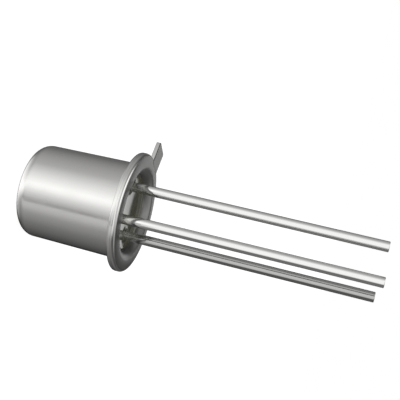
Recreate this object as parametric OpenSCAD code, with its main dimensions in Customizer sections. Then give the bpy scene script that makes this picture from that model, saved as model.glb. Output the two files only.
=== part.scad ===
// Bipolar transistor in a small metal can, with three wire leads and an index tab.
//
// The origin is the centre of the lead circle on the seating plane, which is the lead side of the flange.
// +Z runs along the leads, away from the can, so the part stands on the can's closed end.
// The emitter lead is on +X, the base lead on +Y and the collector lead on -X.

/* [Can] */
// Outside diameter of the can's wall at its flange
can_d = 4.78; // [4.6:0.02:4.94]
// Outside diameter of the can's wall at its closed corner: the drawn wall has a slight draft
can_end_d = 4.64; // [4.5:0.02:4.78]
// Height from the seating plane to the can's closed end
body_h = 5.54; // [4.4:0.02:6]
// Thickness of the can's drawn sheet, in its wall, end and flange
can_t = 0.2; // [0.14:0.01:0.22]
// Outside radius of the can's closed corner
can_corner_r = 0.66; // [0.4:0.02:1]
// Radius of the fillet between the can's wall and its flange
can_fillet_r = 0.14; // [0.08:0.01:0.2]

/* [Flange] */
// Outside diameter of the can's flange and of the header's flange
flange_d = 5.94; // [5.7:0.02:6.2]
// Radius on the outer edge of the can's flange, on the can's side
can_rim_r = 0.12; // [0.03:0.01:0.16]
// Radius on the outer edge of the header's flange, on the lead side
header_rim_r = 0.16; // [0.06:0.01:0.18]
// Radius on the outer edges of the two flanges at the seam between them
seam_rim_r = 0.02; // [0.01:0.01:0.04]
// Width of the flat ring round the lip that seats on a board
seat_w = 0.08; // [0.06:0.01:0.2]
// How far the crowned face outside that ring falls, up to the rounded outer edge
crown_drop = 0.02; // [0.01:0.01:0.05]

/* [Header] */
// Thickness of the header's stamped sheet
header_t = 0.24; // [0.2:0.01:0.28]
// Gap between the header's platform and the can's inside wall
platform_gap = 0.1; // [0.02:0.01:0.2]
// Height of the platform over the seating plane, inside the can
platform_h = 1.2; // [1:0.02:1.6]
// Outside radius of the platform's drawn corner
platform_corner_r = 0.3; // [0.29:0.01:0.4]
// Radius of the rounded lip where the flange turns down into the glass recess
lip_r = 0.55; // [0.42:0.01:0.6]
// Width of the index tab
tab_w = 1.14; // [0.9:0.02:1.2]
// Length of the index tab, from the flange's edge
tab_l = 0.97; // [0.7:0.01:1.25]
// Radius of the index tab's two corners
tab_corner_r = 0.1; // [0.04:0.01:0.3]
// Angle from the index tab to the emitter lead, counter-clockwise seen from the leads
tab_angle = 45; // [30:1:60]

/* [Glass] */
// Depth of the glass under the seating plane, at the recess's wall
glass_depth = 0.36; // [0.16:0.01:0.4]
// How much deeper the hollow surface of the glass is in its middle
glass_dip = 0.14; // [0.04:0.01:0.2]
// Diameter of the two glass-filled holes in the platform
insulator_d = 0.94; // [0.8:0.01:1.02]
// Height of the glass collar that climbs each lead
collar_h = 0.1; // [0.05:0.01:0.14]
// Width of the glass collar at its foot
collar_w = 0.14; // [0.08:0.01:0.2]

/* [Leads] */
// Diameter of the circle that the leads stand on
lead_circle_d = 2.54; // [2.4:0.02:2.6]
// Diameter of a lead over its coated free length
lead_d = 0.5; // [0.42:0.01:0.53]
// Thickness of the solder coating
coat_t = 0.01; // [0.005:0.001:0.02]
// Distance from the seating plane to where the solder coating starts
coat_start = 0.1; // [0:0.05:1]
// Length over which the coating grows from nothing to its full thickness
coat_feather = 0.6; // [0.55:0.05:1.5]
// Length of the emitter lead from the seating plane
emitter_l = 12; // [6:0.1:19]
// Length of the base lead from the seating plane
base_l = 12.1; // [6:0.1:19]
// Length of the collector lead from the seating plane
collector_l = 11.9; // [6:0.1:19]
// Height of the emitter and base posts over the platform, inside the can
post_h = 0.5; // [0.3:0.02:0.8]
// Chamfer on the cut ends of the leads
end_chamfer = 0.03; // [0.01:0.01:0.08]

/* [Chip] */
// Side of the square silicon die
die_w = 0.46; // [0.36:0.02:0.6]
// Thickness of the die
die_t = 0.16; // [0.1:0.01:0.25]
// Thickness of the gold layer that bonds the die to the platform
bond_t = 0.02; // [0.01:0.01:0.04]
// How far the gold layer reaches past the die on each side
bond_margin = 0.03; // [0.01:0.01:0.06]
// Distance from the die's centre to each bonding pad
pad_offset = 0.11; // [0.08:0.01:0.13]
// Diameter of the bond wires
wire_d = 0.03; // [0.02:0.001:0.04]
// Diameter of the flattened ball at each end of a bond wire
ball_d = 0.09; // [0.07:0.01:0.1]
// Height of the flattened ball
ball_h = 0.05; // [0.05:0.01:0.08]
// Rise of a bond wire's arc over the straight line between its ends
loop_rise = 0.2; // [0.14:0.01:0.35]

/* [Hidden] */
$fn = 64;

// Angle between neighbouring leads
LEAD_STEP = 90;
// How far a cutter runs past the face that it opens
CUT = 0.05;
// How deep the foot of a glass collar is sunk in the glass
COLLAR_SINK = 0.04;
// Thickness of a glass collar's top edge
COLLAR_EDGE = 0.02;
// Segments of the large circles of which only a short arc is used
LARGE_FN = 256;
// How far the index tab's sheet reaches into the flange that it is one piece with
TAB_ROOT = 0.28;
// Least straight edge left between the two rounded edges of a flange
LAND = 0.005;

STEEL = [0.74, 0.74, 0.72];
HEADER_STEEL = [0.66, 0.66, 0.64];
TINNED = [0.82, 0.82, 0.8];
DARK_GLASS = [0.26, 0.28, 0.22];
SILICON = [0.3, 0.31, 0.35];
GOLD = [0.86, 0.68, 0.3];

can_r = can_d / 2;
can_end_r = can_end_d / 2;
flange_r = flange_d / 2;
can_flange_z = -header_t - can_t;
can_rim = min(can_rim_r, can_t - seam_rim_r - LAND);
header_rim = min(header_rim_r, header_t - crown_drop - seam_rim_r - LAND);

platform_r = can_r - can_t - platform_gap;
recess_r = platform_r - header_t;
recess_floor_z = header_t - platform_h;
recess_corner_r = platform_corner_r - header_t;
lip_x = recess_r + lip_r;

// The crowned face is an arc that leaves the flat ring level and runs on into the rounded outer edge.
crown_x = lip_x + seat_w;
rim_x = flange_r - header_rim;
rim_z = -crown_drop - header_rim;
crown_r = (pow(rim_x - crown_x, 2) + pow(rim_z, 2) - pow(header_rim, 2)) / (2 * crown_drop);

// The glass surface is a shallow dish that meets the rounded lip at glass_depth.
glass_edge_r = lip_x - sqrt(pow(lip_r, 2) - pow(lip_r - glass_depth, 2));
glass_mid_z = -glass_depth - glass_dip;
dish_r = (pow(glass_edge_r, 2) + pow(glass_dip, 2)) / (2 * glass_dip);

lead_circle_r = lead_circle_d / 2;
lead_r = lead_d / 2;
post_r = lead_r - coat_t;
post_end_z = -platform_h - post_h;
glass_z_at_lead = glass_mid_z + dish_r - sqrt(pow(dish_r, 2) - pow(lead_circle_r, 2));

die_top_z = -platform_h - bond_t - die_t;

// The solid between an inside corner at the origin and a circle of radius r that touches both its sides.
module corner(r) {
    difference() {
        square(r);
        translate([r, r]) circle(r);
    }
}

// Puts what follows on the lead circle, at the place of lead number index.
module at_lead(index) {
    rotate(index * LEAD_STEP) translate([lead_circle_r, 0, 0]) children();
}

// The half section inside a wall that runs from radius end_r at the closed corner out to radius
// base_r at the fillet, with its end at end_z.
module drafted_section(end_r, base_r, end_z) {
    polygon([
        [0, end_z],
        [end_r, end_z],
        [end_r, can_corner_r - body_h],
        [base_r, can_flange_z - can_fillet_r],
        [base_r, -header_t],
        [0, -header_t]
    ]);
}

module can_outline() {
    difference() {
        union() {
            drafted_section(can_end_r, can_r, -body_h);
            translate([0, can_flange_z]) square([flange_r, can_t]);
            translate([can_r, can_flange_z]) mirror([0, 1]) corner(can_fillet_r);
        }
        translate([can_end_r, -body_h]) mirror([1, 0]) corner(can_corner_r);
        translate([flange_r, can_flange_z]) mirror([1, 0]) corner(can_rim);
        translate([flange_r, -header_t]) rotate(180) corner(seam_rim_r);
    }
}

module can_hollow() {
    end_r = can_end_r - can_t;
    base_r = can_r - can_t;
    difference() {
        drafted_section(end_r, base_r, can_t - body_h);
        translate([end_r, can_t - body_h]) mirror([1, 0]) corner(can_corner_r - can_t);
    }
    translate([base_r, -header_t]) mirror([0, 1]) corner(can_fillet_r + can_t);
}

// The drawn can: closed end, wall and weld flange of one sheet.
module cap() {
    color(STEEL) rotate_extrude() difference() {
        can_outline();
        can_hollow();
    }
}

// A quarter ring of sheet, bent round the centre of the lip.
module lip_bend() {
    intersection() {
        translate([lip_x, -lip_r]) difference() {
            circle(lip_r);
            circle(lip_r - header_t);
        }
        translate([lip_x - lip_r, -lip_r]) square(lip_r);
    }
}

// The flange's sheet outside the lip: a flat ring, then the crowned face and the rounded edge.
module flange_section() {
    translate([lip_x, -header_t]) square([seat_w, header_t]);
    translate([rim_x, rim_z]) circle(header_rim);
    intersection() {
        translate([crown_x, -header_t]) square([flange_r - crown_x, header_t]);
        translate([crown_x, -crown_r]) circle(crown_r, $fn = LARGE_FN);
        union() {
            translate([crown_x, -header_t])
                square([(rim_x - crown_x) * crown_r / (crown_r - header_rim), header_t]);
            translate([crown_x, -header_t]) square([flange_r - crown_x, header_t + rim_z]);
        }
    }
}

module header_section() {
    difference() {
        union() {
            flange_section();
            lip_bend();
            translate([recess_r, -platform_h]) square([header_t, platform_h - lip_r]);
            translate([0, -platform_h]) square([platform_r, header_t]);
            translate([recess_r, recess_floor_z]) mirror([1, 0]) corner(recess_corner_r);
        }
        translate([platform_r, -platform_h]) mirror([1, 0]) corner(platform_corner_r);
        translate([flange_r, -header_t]) mirror([1, 0]) corner(seam_rim_r);
    }
}

// The index tab, with its root inside the flange.
module tab() {
    root_x = flange_r - TAB_ROOT;
    tip_x = flange_r + tab_l;
    rotate(-tab_angle) translate([0, 0, -header_t]) linear_extrude(header_t) difference() {
        translate([root_x, -tab_w / 2]) square([tip_x - root_x, tab_w]);
        translate([tip_x, -tab_w / 2]) mirror([1, 0]) corner(tab_corner_r);
        translate([tip_x, tab_w / 2]) rotate(180) corner(tab_corner_r);
    }
}

// The space of one glass-filled hole: it runs from the platform's face, or drop below it, into the recess.
module insulator_space(drop) {
    translate([0, 0, -platform_h - drop])
        cylinder(h = drop + header_t + recess_corner_r, d = insulator_d);
}

// The stamped base: flange and tab, rounded lip, recess wall and the platform that carries the die.
module header() {
    color(HEADER_STEEL) difference() {
        union() {
            rotate_extrude() header_section();
            tab();
        }
        for (i = [0, 1]) at_lead(i) insulator_space(CUT);
    }
}

// The glass fills the recess inside the header's sheet, up to its dished surface.
module glass_section() {
    fill_top_z = CUT - glass_depth;
    difference() {
        union() {
            translate([0, recess_floor_z]) square([recess_r, fill_top_z - recess_floor_z]);
            if (fill_top_z > -lip_r)
                translate([recess_r, -lip_r]) square([lip_r, fill_top_z + lip_r]);
        }
        translate([lip_x, -lip_r]) circle(lip_r);
        translate([recess_r, recess_floor_z]) mirror([1, 0]) corner(recess_corner_r);
        translate([0, glass_mid_z + dish_r]) circle(dish_r, $fn = LARGE_FN);
    }
}

module glass_collar() {
    translate([0, 0, glass_z_at_lead - COLLAR_SINK])
        cylinder(h = COLLAR_SINK + collar_h, r1 = post_r + collar_w, r2 = post_r + COLLAR_EDGE);
}

// The glass seal: the recess fill, the two insulators in the platform and a collar round each lead.
module glass_seal() {
    color(DARK_GLASS) difference() {
        union() {
            rotate_extrude() glass_section();
            for (i = [0, 1]) at_lead(i) insulator_space(0);
            for (i = [0, 1, 2]) at_lead(i) glass_collar();
        }
        for (i = [0, 1]) at_lead(i)
            translate([0, 0, -platform_h - CUT]) cylinder(h = platform_h + CUT, r = post_r);
        at_lead(2)
            translate([0, 0, recess_floor_z]) cylinder(h = -recess_floor_z, r = post_r);
    }
}

// The half section of a straight wire, from its inner end to its tip: bare in the glass, and then
// coated, with a coating that feathers out towards the glass.
module lead_section(inner_z, tip_z) {
    polygon([
        [0, inner_z],
        [post_r - end_chamfer, inner_z],
        [post_r, inner_z + end_chamfer],
        [post_r, coat_start],
        [lead_r, coat_start + coat_feather],
        [lead_r, tip_z - end_chamfer],
        [lead_r - end_chamfer, tip_z],
        [0, tip_z]
    ]);
}

module lead(inner_z, tip_z) {
    color(TINNED) rotate_extrude() lead_section(inner_z, tip_z);
}

module emitter_lead() {
    at_lead(0) lead(post_end_z, emitter_l);
}

module base_lead() {
    at_lead(1) lead(post_end_z, base_l);
}

// The collector lead stops at the platform, which it is welded to.
module collector_lead() {
    at_lead(2) lead(recess_floor_z, collector_l);
}

// The silicon die lies on the platform, on its gold layer.
module die() {
    color(SILICON) translate([-die_w / 2, -die_w / 2, die_top_z]) cube([die_w, die_w, die_t]);
}

module die_bond() {
    side = die_w + 2 * bond_margin;
    color(GOLD) translate([-side / 2, -side / 2, -platform_h - bond_t]) cube([side, side, bond_t]);
}

// A circular arc of round wire between two points [r, z] of the half plane at angle 0.
// It rises towards -Z, which is up inside the can.
module wire_arc(from, to, rise) {
    run = to - from;
    chord = norm(run);
    arc_r = (pow(chord / 2, 2) + pow(rise, 2)) / (2 * rise);
    half_angle = asin(chord / 2 / arc_r);
    chord_angle = atan2(run.y, run.x);
    across = [-run.y, run.x] / chord;
    middle = (from + to) / 2 + across * (arc_r - rise);
    translate([middle.x, 0, middle.y])
        rotate([90, 0, 0]) rotate(chord_angle - 90 - half_angle)
            rotate_extrude(angle = 2 * half_angle) translate([arc_r, 0]) circle(d = wire_d);
}

module ball(x, z) {
    translate([x, 0, z - ball_h]) cylinder(h = ball_h, d = ball_d);
}

// A bond wire from a pad on the die to the post of lead number index.
module bond_wire(index) {
    color(GOLD) rotate(index * LEAD_STEP) {
        ball(pad_offset, die_top_z);
        ball(lead_circle_r, post_end_z);
        wire_arc([pad_offset, die_top_z - ball_h / 2], [lead_circle_r, post_end_z - ball_h / 2], loop_rise);
    }
}

module emitter_wire() {
    bond_wire(0);
}

module base_wire() {
    bond_wire(1);
}

cap();
header();
glass_seal();
emitter_lead();
base_lead();
collector_lead();
die();
die_bond();
emitter_wire();
base_wire();
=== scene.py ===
"""A bipolar transistor in a small metal can, in a pale studio."""

import math
from typing import Callable, NamedTuple

import bmesh
import bpy
from mathutils import Matrix, Vector


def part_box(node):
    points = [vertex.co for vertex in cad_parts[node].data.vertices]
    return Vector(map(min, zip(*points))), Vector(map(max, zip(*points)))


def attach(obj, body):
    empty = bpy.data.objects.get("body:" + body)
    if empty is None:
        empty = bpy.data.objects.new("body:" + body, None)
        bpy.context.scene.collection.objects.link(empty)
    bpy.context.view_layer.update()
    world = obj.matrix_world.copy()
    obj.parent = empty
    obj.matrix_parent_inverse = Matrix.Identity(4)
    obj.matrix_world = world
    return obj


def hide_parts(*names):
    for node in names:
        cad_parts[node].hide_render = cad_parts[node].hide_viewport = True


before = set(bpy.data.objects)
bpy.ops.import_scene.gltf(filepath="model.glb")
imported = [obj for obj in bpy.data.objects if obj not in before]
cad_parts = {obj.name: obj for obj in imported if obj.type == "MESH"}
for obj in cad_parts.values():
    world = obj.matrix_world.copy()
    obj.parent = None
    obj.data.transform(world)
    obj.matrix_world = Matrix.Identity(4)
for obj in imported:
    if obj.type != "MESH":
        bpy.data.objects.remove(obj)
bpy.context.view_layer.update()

MM = 0.001

# The can and its flange, where the nodes' boxes don't give a size
CAN_T = 0.2 * MM
CAN_CORNER_R = 0.66 * MM
CAN_FILLET_R = 0.14 * MM
CAN_RIM_R = 0.12 * MM
SEAM_RIM_R = 0.006 * MM

# The header: a flat seat round the lip, then a crowned face that drops towards the rounded rim
HEADER_RIM_R = 0.16 * MM
SEAT_W = 0.08 * MM
CROWN_DROP = 0.02 * MM
PLATFORM_CORNER_R = 0.3 * MM
LIP_R = 0.55 * MM
INSULATOR_R = 0.47 * MM

# The index tab, whose root reaches into the flange
TAB_W = 1.14 * MM
TAB_CORNER_R = 0.1 * MM
TAB_EDGE_R = 0.035 * MM
TAB_ROOT = 0.28 * MM
TAB_ANGLE = math.radians(-45)

# The glass surface: its depth at the wall, and the dip of its dish
GLASS_DEPTH = 0.36 * MM
GLASS_DIP = 0.14 * MM

# Glass that climbs what it wets: the height at the metal and the distance over which it dies out
WALL_CREEP_H = 0.05 * MM
WALL_CREEP_W = 0.08 * MM
LEAD_CREEP_H = 0.08 * MM
LEAD_CREEP_W = 0.07 * MM

# The leads: a tin coating that starts above the glass and thickens along its feather, and a broken
# edge at the cut end
COAT_T = 0.01 * MM
COAT_START = 0.1 * MM
COAT_FEATHER = 0.6 * MM
END_CHAMFER = 0.03 * MM

# Fineness of the meshes
ROUND_SEGMENTS = 256
LEAD_SEGMENTS = 96
GLASS_RINGS = 110
ARC_STEPS = 12
CROWN_STEPS = 8
SMALL_ARC_STEPS = 6
TAB_EDGE_SEGMENTS = 4
SUPPORT = 0.015 * MM
LONG_SIDE = 4 * SUPPORT
SHARP_ANGLE = math.radians(35)
FLAT_WEIGHT = 100

# The camera: its place, the directions behind and above it, and its lens in millimetres
CAMERA_PLACE = Vector((11.5453, 33.5331, 10.0027)) * MM
CAMERA_BACK = Vector((0.28398, 0.93847, 0.19653))
CAMERA_UP = Vector((0.94499, -0.23925, -0.22302))
LENS = 67.5
SENSOR = 36.0
CLIP_START = 1 * MM
CAMERA_AZIMUTH = math.atan2(CAMERA_BACK.y, CAMERA_BACK.x)


# ---------------------------------------------------------------- sizes from the frame

def widest(node, low_z, high_z):
    """The largest distance from the axis of a CAD node's vertices between two heights."""
    slack = 0.001 * MM
    return max(
        math.hypot(v.co.x, v.co.y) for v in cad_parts[node].data.vertices
        if low_z - slack <= v.co.z <= high_z + slack
    )


cap_low, cap_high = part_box("cap")
header_low, header_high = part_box("header")
flange_r = cap_high.x
seam_z = cap_high.z
header_t = -seam_z
can_flange_z = seam_z - CAN_T
can_end_z = cap_low.z
can_end_r = widest("cap", can_end_z, can_end_z + CAN_CORNER_R)
can_r = widest("cap", can_end_z, can_flange_z - CAN_FILLET_R)

platform_z = header_low.z
platform_r = widest("header", platform_z, platform_z + PLATFORM_CORNER_R)
recess_r = platform_r - header_t
recess_floor_z = platform_z + header_t
recess_corner_r = PLATFORM_CORNER_R - header_t
recess_corner = (recess_r - recess_corner_r, recess_floor_z + recess_corner_r)
tab_reach = widest("header", header_low.z, header_high.z)
tab_end_x = math.sqrt(tab_reach ** 2 - (TAB_W / 2 - TAB_CORNER_R) ** 2)

# The crowned face is an arc that leaves the seat level and meets the arc of the rim in one line
lip_x = recess_r + LIP_R
crown_x = lip_x + SEAT_W
rim_x = flange_r - HEADER_RIM_R
rim_z = -CROWN_DROP - HEADER_RIM_R
crown_r = ((rim_x - crown_x) ** 2 + rim_z ** 2 - HEADER_RIM_R ** 2) / (2 * CROWN_DROP)
crown_angle = math.degrees(math.asin((rim_x - crown_x) / (crown_r - HEADER_RIM_R)))

glass_edge_r = lip_x - math.sqrt(LIP_R ** 2 - (LIP_R - GLASS_DEPTH) ** 2)
glass_mid_z = -GLASS_DEPTH - GLASS_DIP

leads = ["emitter_lead", "base_lead", "collector_lead"]
lead_boxes = [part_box(node) for node in leads]
lead_places = [((low.x + high.x) / 2, (low.y + high.y) / 2) for low, high in lead_boxes]
insulated_places = lead_places[:2]
post_r = (lead_boxes[0][1].x - lead_boxes[0][0].x) / 2 - COAT_T


# ---------------------------------------------------------------- mesh helpers

def arc(centre, radius, start, end, steps=ARC_STEPS):
    """Points (r, z) on an arc from the angle start to the angle end, in degrees."""
    points = []
    for i in range(steps + 1):
        angle = math.radians(start + (end - start) * i / steps)
        points.append((centre[0] + radius * math.cos(angle), centre[1] + radius * math.sin(angle)))
    return points


def circle(radius, segments, centre=(0.0, 0.0)):
    """Points (x, y) evenly round a circle."""
    angles = [2 * math.pi * i / segments for i in range(segments)]
    return [(centre[0] + radius * math.cos(a), centre[1] + radius * math.sin(a)) for a in angles]


def supported(points):
    """The same closed outline, with a point close to each end of every long straight side."""
    result = []
    for (r0, z0), (r1, z1) in zip(points, points[1:] + points[:1]):
        result.append((r0, z0))
        length = math.hypot(r1 - r0, z1 - z0)
        if length > LONG_SIDE and max(r0, r1) > 0:
            for share in (SUPPORT / length, 1 - SUPPORT / length):
                result.append((r0 + (r1 - r0) * share, z0 + (z1 - z0) * share))
    return result


def new_object(name, mesh_data):
    """An object in the scene that takes over a bmesh, with its faces turned outwards."""
    bmesh.ops.recalc_face_normals(mesh_data, faces=mesh_data.faces)
    data = bpy.data.meshes.new(name)
    mesh_data.to_mesh(data)
    mesh_data.free()
    obj = bpy.data.objects.new(name, data)
    bpy.context.scene.collection.objects.link(obj)
    return obj


def revolve(name, outline, segments, centre=(0.0, 0.0)):
    """The closed solid that a closed half outline of points (r, z) sweeps round a vertical axis."""
    solid = bmesh.new()
    rings = []
    for r, z in outline:
        if r <= 0:
            rings.append([solid.verts.new((centre[0], centre[1], z))] * segments)
        else:
            rings.append([solid.verts.new((x, y, z)) for x, y in circle(r, segments, centre)])
    for ring, following in zip(rings, rings[1:] + rings[:1]):
        if ring[0] is ring[1] and following[0] is following[1]:
            continue
        for i in range(segments):
            j = (i + 1) % segments
            corners = dict.fromkeys((ring[i], ring[j], following[j], following[i]))
            solid.faces.new(list(corners))
    return new_object(name, solid)


def peg(name, radius, low_z, high_z, centre):
    """A plain round solid, to be joined to a piece or cut out of it."""
    outline = [(0, low_z), (radius, low_z), (radius, high_z), (0, high_z)]
    return revolve(name, outline, LEAD_SEGMENTS, centre)


def smooth(obj):
    """Shades the faces smooth, apart from sharp edges."""
    obj.data.shade_smooth()
    obj.data.set_sharp_from_angle(angle=SHARP_ANGLE)


def combine(obj, other, operation):
    """Joins another solid to obj, or cuts it away, and removes the other."""
    modifier = obj.modifiers.new("combine", "BOOLEAN")
    modifier.operation = operation
    modifier.solver = "EXACT"
    modifier.object = other
    evaluated = obj.evaluated_get(bpy.context.evaluated_depsgraph_get())
    data = bpy.data.meshes.new_from_object(evaluated)
    obj.modifiers.remove(modifier)
    obj.data = data
    bpy.data.objects.remove(other)


def keep_flats(obj):
    """Weighs the normals by area, so that flat faces look flat next to their rounded edges."""
    modifier = obj.modifiers.new("keep_flats", "WEIGHTED_NORMAL")
    modifier.weight = FLAT_WEIGHT
    modifier.keep_sharp = True


def place(obj, nodes, material):
    """Gives a piece its material, and puts it in the place of its CAD nodes."""
    obj.data.materials.clear()
    obj.data.materials.append(material)
    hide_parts(*nodes)
    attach(obj, "root")


# ---------------------------------------------------------------- node helpers

# The sockets of a Mix node by data type: its first value, its second value and its result
MIX_SOCKETS = {"FLOAT": (2, 3, 0), "RGBA": (6, 7, 2)}


class Nodes:
    """A short way to add and link shader nodes in one tree."""

    def __init__(self, tree):
        self.tree = tree
        tree.nodes.clear()

    def add(self, kind, settings=None, **inputs):
        """A new node. An input is named by its socket's name in lower case, or in0, in1 and so on."""
        node = self.tree.nodes.new(kind)
        for name, value in (settings or {}).items():
            setattr(node, name, value)
        for name, value in inputs.items():
            self.connect(node.inputs[self.socket(node, name)], value)
        return node

    def socket(self, node, name):
        """The key of the input that has this short name."""
        if name.startswith("in"):
            return int(name[2:])
        return next(s.name for s in node.inputs if s.name.lower().replace(" ", "_") == name)

    def connect(self, socket, value):
        """Links another node's output to an input, or sets the input to a plain value."""
        if isinstance(value, bpy.types.NodeSocket):
            self.tree.links.new(value, socket)
        else:
            socket.default_value = value

    def math(self, operation, first, second=0.0):
        """The result of a Math node."""
        return self.add("ShaderNodeMath", {"operation": operation}, in0=first, in1=second).outputs[0]

    def noise(self, coordinates, scale, detail):
        """Noise around 0.5, with as many cells to each unit of the coordinates as the scale."""
        node = self.add("ShaderNodeTexNoise", vector=coordinates, scale=scale, detail=detail)
        return node.outputs["Fac"]

    def ramp(self, value, stops):
        """A grey ramp through the stops (position, brightness)."""
        node = self.add("ShaderNodeValToRGB", in0=value)
        elements = node.color_ramp.elements
        while len(elements) > 1:
            elements.remove(elements[-1])
        for i, (position, grey) in enumerate(stops):
            element = elements[0] if i == 0 else elements.new(position)
            element.position = position
            element.color = (grey, grey, grey, 1)
        return node.outputs["Color"]

    def between(self, value, low, high, to_low=0.0, to_high=1.0, kind="SMOOTHSTEP"):
        """to_low where the value is low, to_high where it is high, and a passage between them."""
        node = self.add("ShaderNodeMapRange", {"interpolation_type": kind})
        limits = {"From Min": low, "From Max": high, "To Min": to_low, "To Max": to_high}
        for name, number in limits.items():
            node.inputs[name].default_value = number
        self.tree.links.new(value, node.inputs["Value"])
        return node.outputs["Result"]

    def mix(self, share, first, second, data_type="FLOAT"):
        """The first value where the share is 0, and the second where it is 1."""
        first_input, second_input, result = MIX_SOCKETS[data_type]
        node = self.add("ShaderNodeMix", {"data_type": data_type})
        self.connect(node.inputs[0], share)
        self.connect(node.inputs[first_input], first)
        self.connect(node.inputs[second_input], second)
        return node.outputs[result]


# ---------------------------------------------------------------- materials

# Plated metal: fine marks along the drawing direction, duller patches, and grain on the marks
MARK_SCALE = 14000.0
MARK_SCALE_ALONG = 500.0
MARK_DETAIL = 3.0
PATCH_SCALE = 900.0
PATCH_DETAIL = 4.0
PATCH_RANGE = (0.35, 0.75)
PATCH_ROUGHNESS = (0.85, 1.3)
GRAIN_SCALE = 16000.0
GRAIN_DETAIL = 2.0
GRAIN_SHARE = 0.5
METAL_BUMP_H = 0.004 * MM

# The header's lead side is darker and duller inside a polished rim, whose width is measured inwards from
# the flange's edge, and on the highest faces, such as the top of the tab. From the lip inwards the
# dullness gives way to painted light, on the side towards the camera. LIP_DULL is the share that is left
# before and after LIP_FADE_Y, and none gives way before LIP_FADE_X.
POLISHED_RIM = (0.18 * MM, 0.26 * MM)
FACE_Z = (-0.06 * MM, -0.025 * MM)
LIP_BAND = (0.25 * MM, 0.05 * MM)
LIP_FADE_X = (-1.4 * MM, -0.5 * MM)
LIP_FADE_Y = (0.9 * MM, 1.7 * MM)
LIP_DULL = (0.76, 0.3)

# The seal's glass: dark, with faint clouds and a rippled surface
GLASS_DARK = (0.045, 0.047, 0.03, 1)
GLASS_PALE = (0.09, 0.09, 0.06, 1)
GLASS_CLOUD_SCALE = 1500.0
GLASS_CLOUD_DETAIL = 3.0
GLASS_RIPPLE_SCALE = 2500.0
GLASS_RIPPLE_DETAIL = 1.0
GLASS_RIPPLE_DEPTH = 0.2
GLASS_BUMP_H = 0.01 * MM
GLASS_ROUGHNESS = 0.06
GLASS_IOR = 1.52

# The transistor chip
SILICON_COLOUR = (0.16, 0.17, 0.21, 1)
SILICON_METALLIC = 0.6
SILICON_CLOUD_SCALE = 9000.0
SILICON_CLOUD_DETAIL = 3.0
SILICON_CLOUD_RANGE = (0.3, 0.7)
SILICON_ROUGHNESS = (0.12, 0.25)


class Dulling(NamedTuple):
    """How metal looks where it has dulled and where painted light is laid on it, and the function that
    gives the share of it at a place.
    """
    colour: tuple
    roughness: float
    metallic: float
    share: Callable


def new_material(name):
    """A material, and the helper that adds its nodes."""
    material = bpy.data.materials.new(name)
    material.use_nodes = True
    return material, Nodes(material.node_tree)


def metal(name, colour, roughness, mark_depth, dulling=None):
    """Plated metal with fine drawing marks, dull patches and a slightly uneven surface."""
    material, nodes = new_material(name)
    coordinates = nodes.add("ShaderNodeTexCoord").outputs["Object"]
    stretched = nodes.add("ShaderNodeMapping", vector=coordinates)
    stretched.inputs["Scale"].default_value = (MARK_SCALE, MARK_SCALE, MARK_SCALE_ALONG)
    marks = nodes.noise(stretched.outputs["Vector"], 1.0, MARK_DETAIL)
    patches = nodes.noise(coordinates, PATCH_SCALE, PATCH_DETAIL)
    grain = nodes.noise(coordinates, GRAIN_SCALE, GRAIN_DETAIL)
    patch_roughness = [roughness * share for share in PATCH_ROUGHNESS]
    uneven = nodes.between(patches, *PATCH_RANGE, *patch_roughness)
    height = nodes.math("ADD", marks, nodes.math("MULTIPLY", grain, GRAIN_SHARE))
    bump = nodes.add("ShaderNodeBump", height=height, strength=mark_depth, distance=METAL_BUMP_H)
    shader = nodes.add("ShaderNodeBsdfPrincipled", roughness=uneven, normal=bump.outputs["Normal"])
    shader.inputs["Base Color"].default_value = (*colour, 1)
    shader.inputs["Metallic"].default_value = 1.0
    if dulling:
        share = dulling.share(nodes, coordinates)
        tint = nodes.mix(share, (*colour, 1), (*dulling.colour, 1), "RGBA")
        nodes.connect(shader.inputs["Base Color"], tint)
        nodes.connect(shader.inputs["Roughness"], nodes.mix(share, uneven, dulling.roughness))
        if dulling.metallic < 1:
            nodes.connect(shader.inputs["Metallic"], nodes.mix(share, 1.0, dulling.metallic))
    nodes.add("ShaderNodeOutputMaterial", surface=shader.outputs["BSDF"])
    return material


def seal_side(nodes, coordinates):
    """The header's lead side, darker and duller inside its polished rim, with painted light on the lip on
    the side towards the camera.
    """
    parts = nodes.add("ShaderNodeSeparateXYZ", in0=coordinates)
    flat = nodes.add("ShaderNodeCombineXYZ", x=parts.outputs["X"], y=parts.outputs["Y"])
    from_axis = nodes.add("ShaderNodeVectorMath", {"operation": "LENGTH"}, in0=flat.outputs[0])
    radius = from_axis.outputs["Value"]
    inside = nodes.between(radius, *(flange_r - depth for depth in POLISHED_RIM))
    facing = nodes.between(parts.outputs["Z"], *FACE_Z)
    # Painted light: the lip keeps less of its dullness on the side towards the camera
    lip = nodes.between(parts.outputs["Y"], *LIP_FADE_Y, *LIP_DULL)
    lip = nodes.mix(nodes.between(parts.outputs["X"], *LIP_FADE_X), 1.0, lip)
    painted_lip_light = nodes.mix(nodes.between(radius, *(lip_x - depth for depth in LIP_BAND)), lip, 1.0)
    return nodes.math("MULTIPLY", nodes.math("MAXIMUM", inside, facing), painted_lip_light)


def lead_root(nodes, coordinates):
    """Bare, matt wire at the seal, under the end of the coating, coloured lighter as painted light."""
    parts = nodes.add("ShaderNodeSeparateXYZ", in0=coordinates)
    return nodes.between(parts.outputs["Z"], COAT_START, COAT_START + COAT_FEATHER / 2, 1.0, 0.0)


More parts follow.
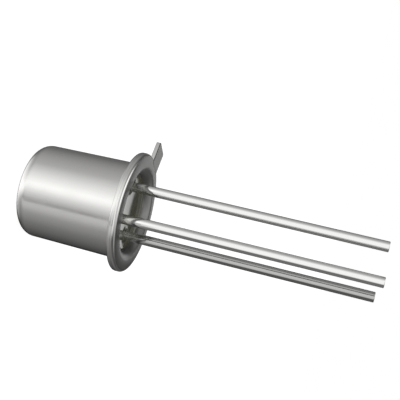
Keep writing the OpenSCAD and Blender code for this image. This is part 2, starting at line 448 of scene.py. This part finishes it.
def dark_glass(name):
    """Dark olive glass with a glossy, faintly rippled surface."""
    material, nodes = new_material(name)
    coordinates = nodes.add("ShaderNodeTexCoord").outputs["Object"]
    clouds = nodes.noise(coordinates, GLASS_CLOUD_SCALE, GLASS_CLOUD_DETAIL)
    tint = nodes.add("ShaderNodeValToRGB", in0=clouds)
    tint.color_ramp.elements[0].color = GLASS_DARK
    tint.color_ramp.elements[1].color = GLASS_PALE
    ripple = nodes.noise(coordinates, GLASS_RIPPLE_SCALE, GLASS_RIPPLE_DETAIL)
    bump = nodes.add("ShaderNodeBump", height=ripple, strength=GLASS_RIPPLE_DEPTH, distance=GLASS_BUMP_H)
    shader = nodes.add("ShaderNodeBsdfPrincipled", base_color=tint.outputs["Color"],
                       normal=bump.outputs["Normal"])
    shader.inputs["Roughness"].default_value = GLASS_ROUGHNESS
    shader.inputs["IOR"].default_value = GLASS_IOR
    nodes.add("ShaderNodeOutputMaterial", surface=shader.outputs["BSDF"])
    return material


def silicon(name):
    """Polished silicon, a little cloudy."""
    material, nodes = new_material(name)
    coordinates = nodes.add("ShaderNodeTexCoord").outputs["Object"]
    clouds = nodes.noise(coordinates, SILICON_CLOUD_SCALE, SILICON_CLOUD_DETAIL)
    cloudy = nodes.between(clouds, *SILICON_CLOUD_RANGE, *SILICON_ROUGHNESS)
    shader = nodes.add("ShaderNodeBsdfPrincipled", roughness=cloudy)
    shader.inputs["Base Color"].default_value = SILICON_COLOUR
    shader.inputs["Metallic"].default_value = SILICON_METALLIC
    nodes.add("ShaderNodeOutputMaterial", surface=shader.outputs["BSDF"])
    return material


# ---------------------------------------------------------------- pieces

def build_cap(material):
    """The drawn can: closed end, wall and weld flange of one sheet."""
    inner_corner_r = CAN_CORNER_R - CAN_T
    inner_fillet_r = CAN_FILLET_R + CAN_T
    corner_x = can_end_r - CAN_CORNER_R
    corner_z = can_end_z + CAN_CORNER_R
    fillet_x = can_r + CAN_FILLET_R
    fillet_z = can_flange_z - CAN_FILLET_R
    seam_rim = (flange_r - SEAM_RIM_R, seam_z - SEAM_RIM_R)
    outline = [(0, can_end_z)]
    outline += arc((corner_x, corner_z), CAN_CORNER_R, -90, 0, 2 * ARC_STEPS)
    outline += arc((fillet_x, fillet_z), CAN_FILLET_R, 180, 90)
    outline += arc((flange_r - CAN_RIM_R, can_flange_z + CAN_RIM_R), CAN_RIM_R, -90, 0)
    outline += arc(seam_rim, SEAM_RIM_R, 0, 90, SMALL_ARC_STEPS)
    outline += arc((fillet_x, fillet_z), inner_fillet_r, 90, 180)
    outline += arc((corner_x, corner_z), inner_corner_r, 0, -90)
    outline += [(0, can_end_z + CAN_T)]
    cap = revolve("can", supported(outline), ROUND_SEGMENTS)
    smooth(cap)
    place(cap, ["cap"], material)


def tab_solid():
    """The index tab, with softened stamped edges and its root inside the flange."""
    root_x = flange_r - TAB_ROOT
    corner_x = tab_end_x - TAB_CORNER_R
    corner_y = TAB_W / 2 - TAB_CORNER_R
    outline = [(root_x, TAB_W / 2), (root_x, -TAB_W / 2)]
    outline += arc((corner_x, -corner_y), TAB_CORNER_R, -90, 0, SMALL_ARC_STEPS)
    outline += arc((corner_x, corner_y), TAB_CORNER_R, 0, 90, SMALL_ARC_STEPS)
    solid = bmesh.new()
    verts = [solid.verts.new((x, y, -header_t)) for x, y in outline]
    bottom = solid.faces.new(verts)
    top = bmesh.ops.extrude_face_region(solid, geom=[bottom])["geom"]
    moved = [v for v in top if isinstance(v, bmesh.types.BMVert)]
    bmesh.ops.translate(solid, verts=moved, vec=(0, 0, header_t))
    level_edges = [
        e for e in solid.edges
        if abs(e.verts[0].co.z - e.verts[1].co.z) < header_t / 2
        and max(v.co.x for v in e.verts) > root_x + SUPPORT
    ]
    bmesh.ops.bevel(solid, geom=level_edges, offset=TAB_EDGE_R, segments=TAB_EDGE_SEGMENTS,
                    profile=0.5, affect="EDGES")
    bmesh.ops.rotate(solid, verts=solid.verts, matrix=Matrix.Rotation(TAB_ANGLE, 3, "Z"))
    return new_object("tab_cut", solid)


def build_header(material):
    """The stamped base: flange, tab, rounded lip, recess wall and platform."""
    lip_centre = (lip_x, -LIP_R)
    platform_corner = (platform_r - PLATFORM_CORNER_R, platform_z + PLATFORM_CORNER_R)
    seam_rim = (flange_r - SEAM_RIM_R, seam_z + SEAM_RIM_R)
    outline = [(0, recess_floor_z)]
    outline += arc(recess_corner, recess_corner_r, -90, 0)
    outline += arc(lip_centre, LIP_R, 180, 90, 2 * ARC_STEPS)
    outline += arc((crown_x, -crown_r), crown_r, 90, 90 - crown_angle, CROWN_STEPS)
    outline += arc((rim_x, rim_z), HEADER_RIM_R, 90 - crown_angle, 0)[1:]
    outline += arc(seam_rim, SEAM_RIM_R, 0, -90, SMALL_ARC_STEPS)
    outline += arc(lip_centre, LIP_R - header_t, 90, 180)
    outline += arc(platform_corner, PLATFORM_CORNER_R, 0, -90)
    outline += [(0, platform_z)]
    header = revolve("header_shell", supported(outline), ROUND_SEGMENTS)
    combine(header, tab_solid(), "UNION")
    for hole_place in insulated_places:
        hole = peg("hole", INSULATOR_R, platform_z - SUPPORT, recess_floor_z + SUPPORT, hole_place)
        combine(header, hole, "DIFFERENCE")
    smooth(header)
    keep_flats(header)
    place(header, ["header"], material)


def glass_height(x, y):
    """The height of the glass surface: a shallow dish that climbs the wall and the three leads."""
    r = math.hypot(x, y)
    height = glass_mid_z + GLASS_DIP * (r / glass_edge_r) ** 2
    height += WALL_CREEP_H * (math.exp((r - glass_edge_r) / WALL_CREEP_W) - 1)
    for lead_x, lead_y in lead_places:
        distance = max(0.0, math.hypot(x - lead_x, y - lead_y) - post_r)
        height += LEAD_CREEP_H * math.exp(-distance / LEAD_CREEP_W)
    return height


def build_glass(material):
    """The glass fill of the recess, with its menisci, and the two insulators in the platform."""
    wall_start = 180 - math.degrees(math.asin((LIP_R - GLASS_DEPTH) / LIP_R))
    wall = arc((lip_x, -LIP_R), LIP_R, wall_start, 180, CROWN_STEPS)[1:]
    wall += arc(recess_corner, recess_corner_r, 0, -90, SMALL_ARC_STEPS)
    solid = bmesh.new()
    middle = solid.verts.new((0, 0, glass_height(0, 0)))
    rings = []
    for k in range(1, GLASS_RINGS + 1):
        places = circle(glass_edge_r * k / GLASS_RINGS, ROUND_SEGMENTS)
        rings.append([solid.verts.new((x, y, glass_height(x, y))) for x, y in places])
    for r, z in wall:
        rings.append([solid.verts.new((x, y, z)) for x, y in circle(r, ROUND_SEGMENTS)])
    for i in range(ROUND_SEGMENTS):
        j = (i + 1) % ROUND_SEGMENTS
        solid.faces.new((middle, rings[0][i], rings[0][j]))
        for ring, following in zip(rings, rings[1:]):
            solid.faces.new((ring[i], following[i], following[j], ring[j]))
    solid.faces.new(list(reversed(rings[-1])))
    glass = new_object("glass_fill", solid)
    for hole_place in insulated_places:
        insulator = peg("stub", INSULATOR_R, platform_z, recess_floor_z + SUPPORT, hole_place)
        combine(glass, insulator, "UNION")
    for lead_place in lead_places:
        bore = peg("bore", post_r, platform_z - SUPPORT, 0, lead_place)
        combine(glass, bore, "DIFFERENCE")
    smooth(glass)
    place(glass, ["glass_seal"], material)


def build_lead(node, material):
    """A straight wire: bare in the glass, then coated, with a cut end whose edge is broken."""
    low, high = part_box(node)
    centre = (low + high) / 2
    lead_r = (high.x - low.x) / 2
    bare_r = lead_r - COAT_T
    outline = [
        (0, low.z), (bare_r - END_CHAMFER, low.z), (bare_r, low.z + END_CHAMFER),
        (bare_r, COAT_START), (lead_r, COAT_START + COAT_FEATHER)
    ]
    outline += arc((lead_r - END_CHAMFER, high.z - END_CHAMFER), END_CHAMFER, 0, 90, SMALL_ARC_STEPS)
    outline += [(0, high.z)]
    lead = revolve(node + "_wire", supported(outline), LEAD_SEGMENTS, (centre.x, centre.y))
    smooth(lead)
    place(lead, [node], material)


# ---------------------------------------------------------------- studio

# Brightness of the studio's sides, by the angle in degrees from the camera's side, counter-clockwise
# seen from above: a soft box round the camera, a wall on its left that gets darker towards the back,
# and a dark right and back. A height in the studio is the sine of the angle above the level, and a
# pair of heights or angles gives where a passage starts and where it ends.
LEFT_WALL = [(-180, 0.1), (-140, 0.17), (-120, 0.28), (-95, 0.42), (-70, 0.54), (-50, 0.84), (-30, 1.15)]
BOX_LEVEL = LEFT_WALL + [
    (0, 1.15), (30, 1.15), (44, 0.75), (53, 0.26), (62, 0.15), (72, 0.18), (110, 0.19), (150, 0.1),
    (180, 0.1)
]
BELOW_BOX = LEFT_WALL + [
    (-14, 1.42), (-6, 1.3), (8, 0.9), (20, 0.62), (30, 0.3), (33, 0.7), (45, 0.6), (60, 0.39), (90, 0.22),
    (120, 0.12), (150, 0.04), (180, 0.02)
]
STUDIO_PEAK = 1.5
BOX_BOTTOM = math.sin(math.radians(-15))
BOX_BOTTOM_BLUR = 0.02

# The sides dim to this share over these heights, and stay so up to the light from above
GAP_HEIGHTS = (0.14, 0.24)
GAP_SHARE = 0.6

# The back wall, by the angle in degrees from straight behind the object, and the lit panel in it
BACK_EDGES = (55, 30)
BACK_FOOT = (0.0, 0.06)
BACK_LIGHT = 0.1
PANEL_LIGHT = 1.5
PANEL_TURN = 4
PANEL_HALF_WIDTH = 11
PANEL_FULL_SHARE = 0.6
PANEL_FOOT = (0.1, 0.16)
PANEL_HEAD = (0.38, 0.32)

# Light from above and from the floor below, by how far to the side it comes from, -1 on the camera's
# left to 1 on its right, and the heights between which each takes over from the sides
TOP_LEVEL = [(-0.5, 1.45), (-0.2, 1.4), (0, 1.1), (0.28, 0.65), (0.5, 0.45), (0.7, 0.3), (0.85, 0.2)]
TOP_HEIGHTS = (0.6, 0.8)
FLOOR_LEVEL = [(-0.6, 0.6), (-0.1, 1.4), (0.05, 1.4), (0.3, 0.55), (0.6, 0.3)]
FLOOR_HEIGHTS = (-0.68, -0.88)

# The floor in the picture
FLOOR_R = 1.5
FLOOR_SEGMENTS = 64
FLOOR_COLOUR = (0.35, 0.35, 0.35, 1)
FLOOR_GLOW = 0.88
WHITE = (1, 1, 1, 1)


def turned_parts(nodes, direction, azimuth):
    """The parts of a direction along X, Y and Z, once the azimuth is turned to X."""
    turned = nodes.add("ShaderNodeVectorRotate", {"rotation_type": "Z_AXIS"}, vector=direction,
                       angle=-azimuth)
    return nodes.add("ShaderNodeSeparateXYZ", in0=turned.outputs[0])


def degrees_round(nodes, parts):
    """The angle of a direction round the vertical axis, from -180 to 180."""
    return nodes.math("DEGREES", nodes.math("ARCTAN2", parts.outputs["Y"], parts.outputs["X"]))


def brightness(nodes, value, reach, stops):
    """The brightness at a value from -reach to reach, through the stops (value, brightness)."""
    position = nodes.between(value, -reach, reach, kind="LINEAR")
    shares = [((stop + reach) / (2 * reach), level / STUDIO_PEAK) for stop, level in stops]
    return nodes.math("MULTIPLY", nodes.ramp(position, shares), STUDIO_PEAK)


def side_level(nodes, angle, up):
    """The brightness of the studio's sides."""
    in_box = nodes.between(up, BOX_BOTTOM - BOX_BOTTOM_BLUR, BOX_BOTTOM + BOX_BOTTOM_BLUR)
    below, above = (brightness(nodes, angle, 180, stops) for stops in (BELOW_BOX, BOX_LEVEL))
    gap = nodes.between(up, *GAP_HEIGHTS, 1.0, GAP_SHARE)
    return nodes.math("MULTIPLY", nodes.mix(in_box, below, above), gap)


def back_level(nodes, direction, up):
    """The brightness of the back wall, with its soft-edged panel."""
    panel_azimuth = CAMERA_AZIMUTH + math.radians(PANEL_TURN) - math.pi
    parts = turned_parts(nodes, direction, panel_azimuth)
    off_panel = nodes.math("ABSOLUTE", degrees_round(nodes, parts))
    across = nodes.between(off_panel, PANEL_HALF_WIDTH, PANEL_HALF_WIDTH * PANEL_FULL_SHARE)
    upright = nodes.math("MULTIPLY", nodes.between(up, *PANEL_FOOT), nodes.between(up, *PANEL_HEAD))
    return nodes.mix(nodes.math("MULTIPLY", across, upright), BACK_LIGHT, PANEL_LIGHT)


def studio_level(nodes, direction):
    """The brightness of the whole studio in a direction."""
    parts = turned_parts(nodes, direction, CAMERA_AZIMUTH)
    angle = degrees_round(nodes, parts)
    up = parts.outputs["Z"]
    off_back = nodes.math("SUBTRACT", 180, nodes.math("ABSOLUTE", angle))
    behind = nodes.math("MULTIPLY", nodes.between(off_back, *BACK_EDGES), nodes.between(up, *BACK_FOOT))
    level = nodes.mix(behind, side_level(nodes, angle, up), back_level(nodes, direction, up))
    for stops, heights in ((TOP_LEVEL, TOP_HEIGHTS), (FLOOR_LEVEL, FLOOR_HEIGHTS)):
        light = brightness(nodes, parts.outputs["Y"], 1, stops)
        level = nodes.mix(nodes.between(up, *heights), level, light)
    return level


def build_world():
    """White to the camera. The object sees a soft studio, graded round it."""
    world = bpy.data.worlds.new("studio")
    bpy.context.scene.world = world
    world.use_nodes = True
    nodes = Nodes(world.node_tree)
    direction = nodes.add("ShaderNodeTexCoord").outputs["Generated"]
    studio = nodes.add("ShaderNodeBackground", strength=studio_level(nodes, direction))
    studio.inputs["Color"].default_value = WHITE
    white = nodes.add("ShaderNodeBackground", strength=1.0)
    white.inputs["Color"].default_value = WHITE
    rays = nodes.add("ShaderNodeLightPath")
    shown = nodes.add("ShaderNodeMixShader", in0=rays.outputs["Is Camera Ray"],
                      in1=studio.outputs[0], in2=white.outputs[0])
    nodes.add("ShaderNodeOutputWorld", surface=shown.outputs[0])


def build_floor():
    """A pale floor that is white to the camera, apart from the part's soft shadow."""
    solid = bmesh.new()
    bmesh.ops.create_circle(solid, cap_ends=True, segments=FLOOR_SEGMENTS, radius=FLOOR_R)
    bmesh.ops.translate(solid, verts=solid.verts, vec=(0, 0, can_end_z))
    floor = new_object("floor", solid)
    material, nodes = new_material("pale_floor")
    cover = nodes.add("ShaderNodeBsdfDiffuse")
    cover.inputs["Color"].default_value = FLOOR_COLOUR
    rays = nodes.add("ShaderNodeLightPath")
    glow_strength = nodes.math("MULTIPLY", rays.outputs["Is Camera Ray"], FLOOR_GLOW)
    glow = nodes.add("ShaderNodeEmission", strength=glow_strength)
    both = nodes.add("ShaderNodeAddShader", in0=cover.outputs[0], in1=glow.outputs[0])
    nodes.add("ShaderNodeOutputMaterial", surface=both.outputs[0])
    floor.data.materials.append(material)
    floor.visible_glossy = False


def build_camera():
    """The camera at the photograph's viewing angle."""
    camera = bpy.data.objects.new("camera", bpy.data.cameras.new("camera"))
    bpy.context.scene.collection.objects.link(camera)
    right = CAMERA_UP.cross(CAMERA_BACK).normalized()
    up = CAMERA_BACK.cross(right).normalized()
    turn = Matrix((right, up, CAMERA_BACK.normalized())).transposed()
    camera.matrix_world = Matrix.Translation(CAMERA_PLACE) @ turn.to_4x4()
    camera.data.lens = LENS
    camera.data.sensor_width = SENSOR
    camera.data.clip_start = CLIP_START
    bpy.context.scene.camera = camera


# ---------------------------------------------------------------- the scene

# The header's darker, duller lead side, with painted light on its lip
dull_header_painted_lip_light = Dulling(colour=(0.105, 0.105, 0.1), roughness=0.33, metallic=0.6, share=seal_side)
# Painted light: the bare lead roots are coloured lighter than the coated wire
root_painted_light = Dulling(colour=(0.92, 0.92, 0.9), roughness=0.18, metallic=1.0, share=lead_root)

can_metal = metal("satin_nickel", colour=(0.72, 0.715, 0.7), roughness=0.17, mark_depth=0.25)
header_metal = metal("stamped_nickel", colour=(0.7, 0.695, 0.68), roughness=0.14, mark_depth=0.2,
                     dulling=dull_header_painted_lip_light)
lead_metal = metal("tinned_wire", colour=(0.78, 0.78, 0.77), roughness=0.08, mark_depth=0.1,
                   dulling=root_painted_light)
# Painted shade: the collector lead is coloured darker than the other two leads
painted_shade_lead_metal = metal("dull_tinned_wire", colour=(0.43, 0.43, 0.42), roughness=0.12, mark_depth=0.15,
                        dulling=root_painted_light)
gold = metal("gold_plate", colour=(0.85, 0.62, 0.28), roughness=0.2, mark_depth=0.2)

build_cap(can_metal)
build_header(header_metal)
build_glass(dark_glass("seal_glass"))
for node, material in zip(leads, (lead_metal, lead_metal, painted_shade_lead_metal)):
    build_lead(node, material)

inner_pieces = {"die": silicon("silicon"), "die_bond": gold, "emitter_wire": gold, "base_wire": gold}
for node, material in inner_pieces.items():
    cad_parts[node].data.materials.clear()
    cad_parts[node].data.materials.append(material)

build_world()
build_floor()
build_camera()
bpy.context.scene.view_settings.view_transform = "Standard"
